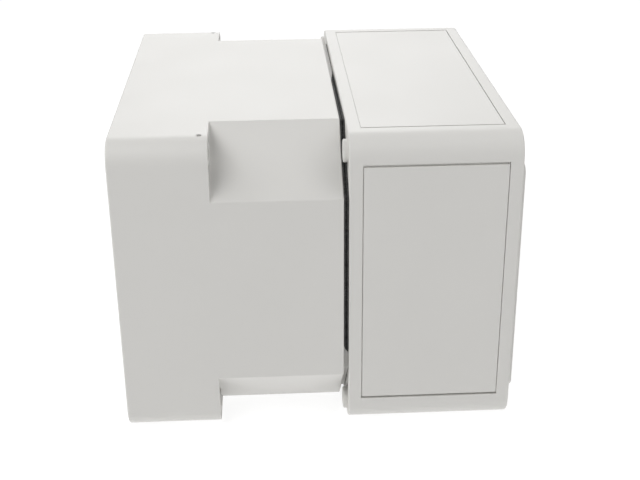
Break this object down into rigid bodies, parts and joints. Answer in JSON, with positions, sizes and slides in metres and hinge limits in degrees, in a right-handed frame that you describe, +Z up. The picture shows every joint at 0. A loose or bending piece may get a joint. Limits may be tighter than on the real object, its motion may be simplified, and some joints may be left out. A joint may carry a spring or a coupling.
{
  "type": "plastic enclosure",
  "caption": "Deep light grey plastic wall enclosure: a hood with cut-away corners on a gasketed base with flush cable-entry plates.",
  "frame": {"origin": "centre of the footprint, on the surface that the enclosure lies on", "axes": "+Z up as pictured, +X from the hood's front toward the wall side, +Y along the long side, away from the camera"},
  "size_m": [0.165, 0.182, 0.13],
  "materials": {
    "hood_shell": "matt light grey, finely eroded",
    "base_shell": "matt light grey, finely eroded",
    "entry_plate": "matt light grey, finely eroded",
    "seal": "black closed-cell foam"
  },
  "bodies": {
    "base_body": {"base": "base_shell", "gasket": "seal", "entry_plate_top": "entry_plate", "entry_plate_bottom": "entry_plate", "entry_plate_left": "entry_plate", "entry_plate_right": "entry_plate"},
    "hood_body": {"hood": "hood_shell"}
  },
  "joints": [
    {"name": "hood_lift", "type": "slide", "parent": "base_body", "child": "hood_body", "axis": [-1, 0, 0], "range_m": [0, 0.12]}
  ]
}
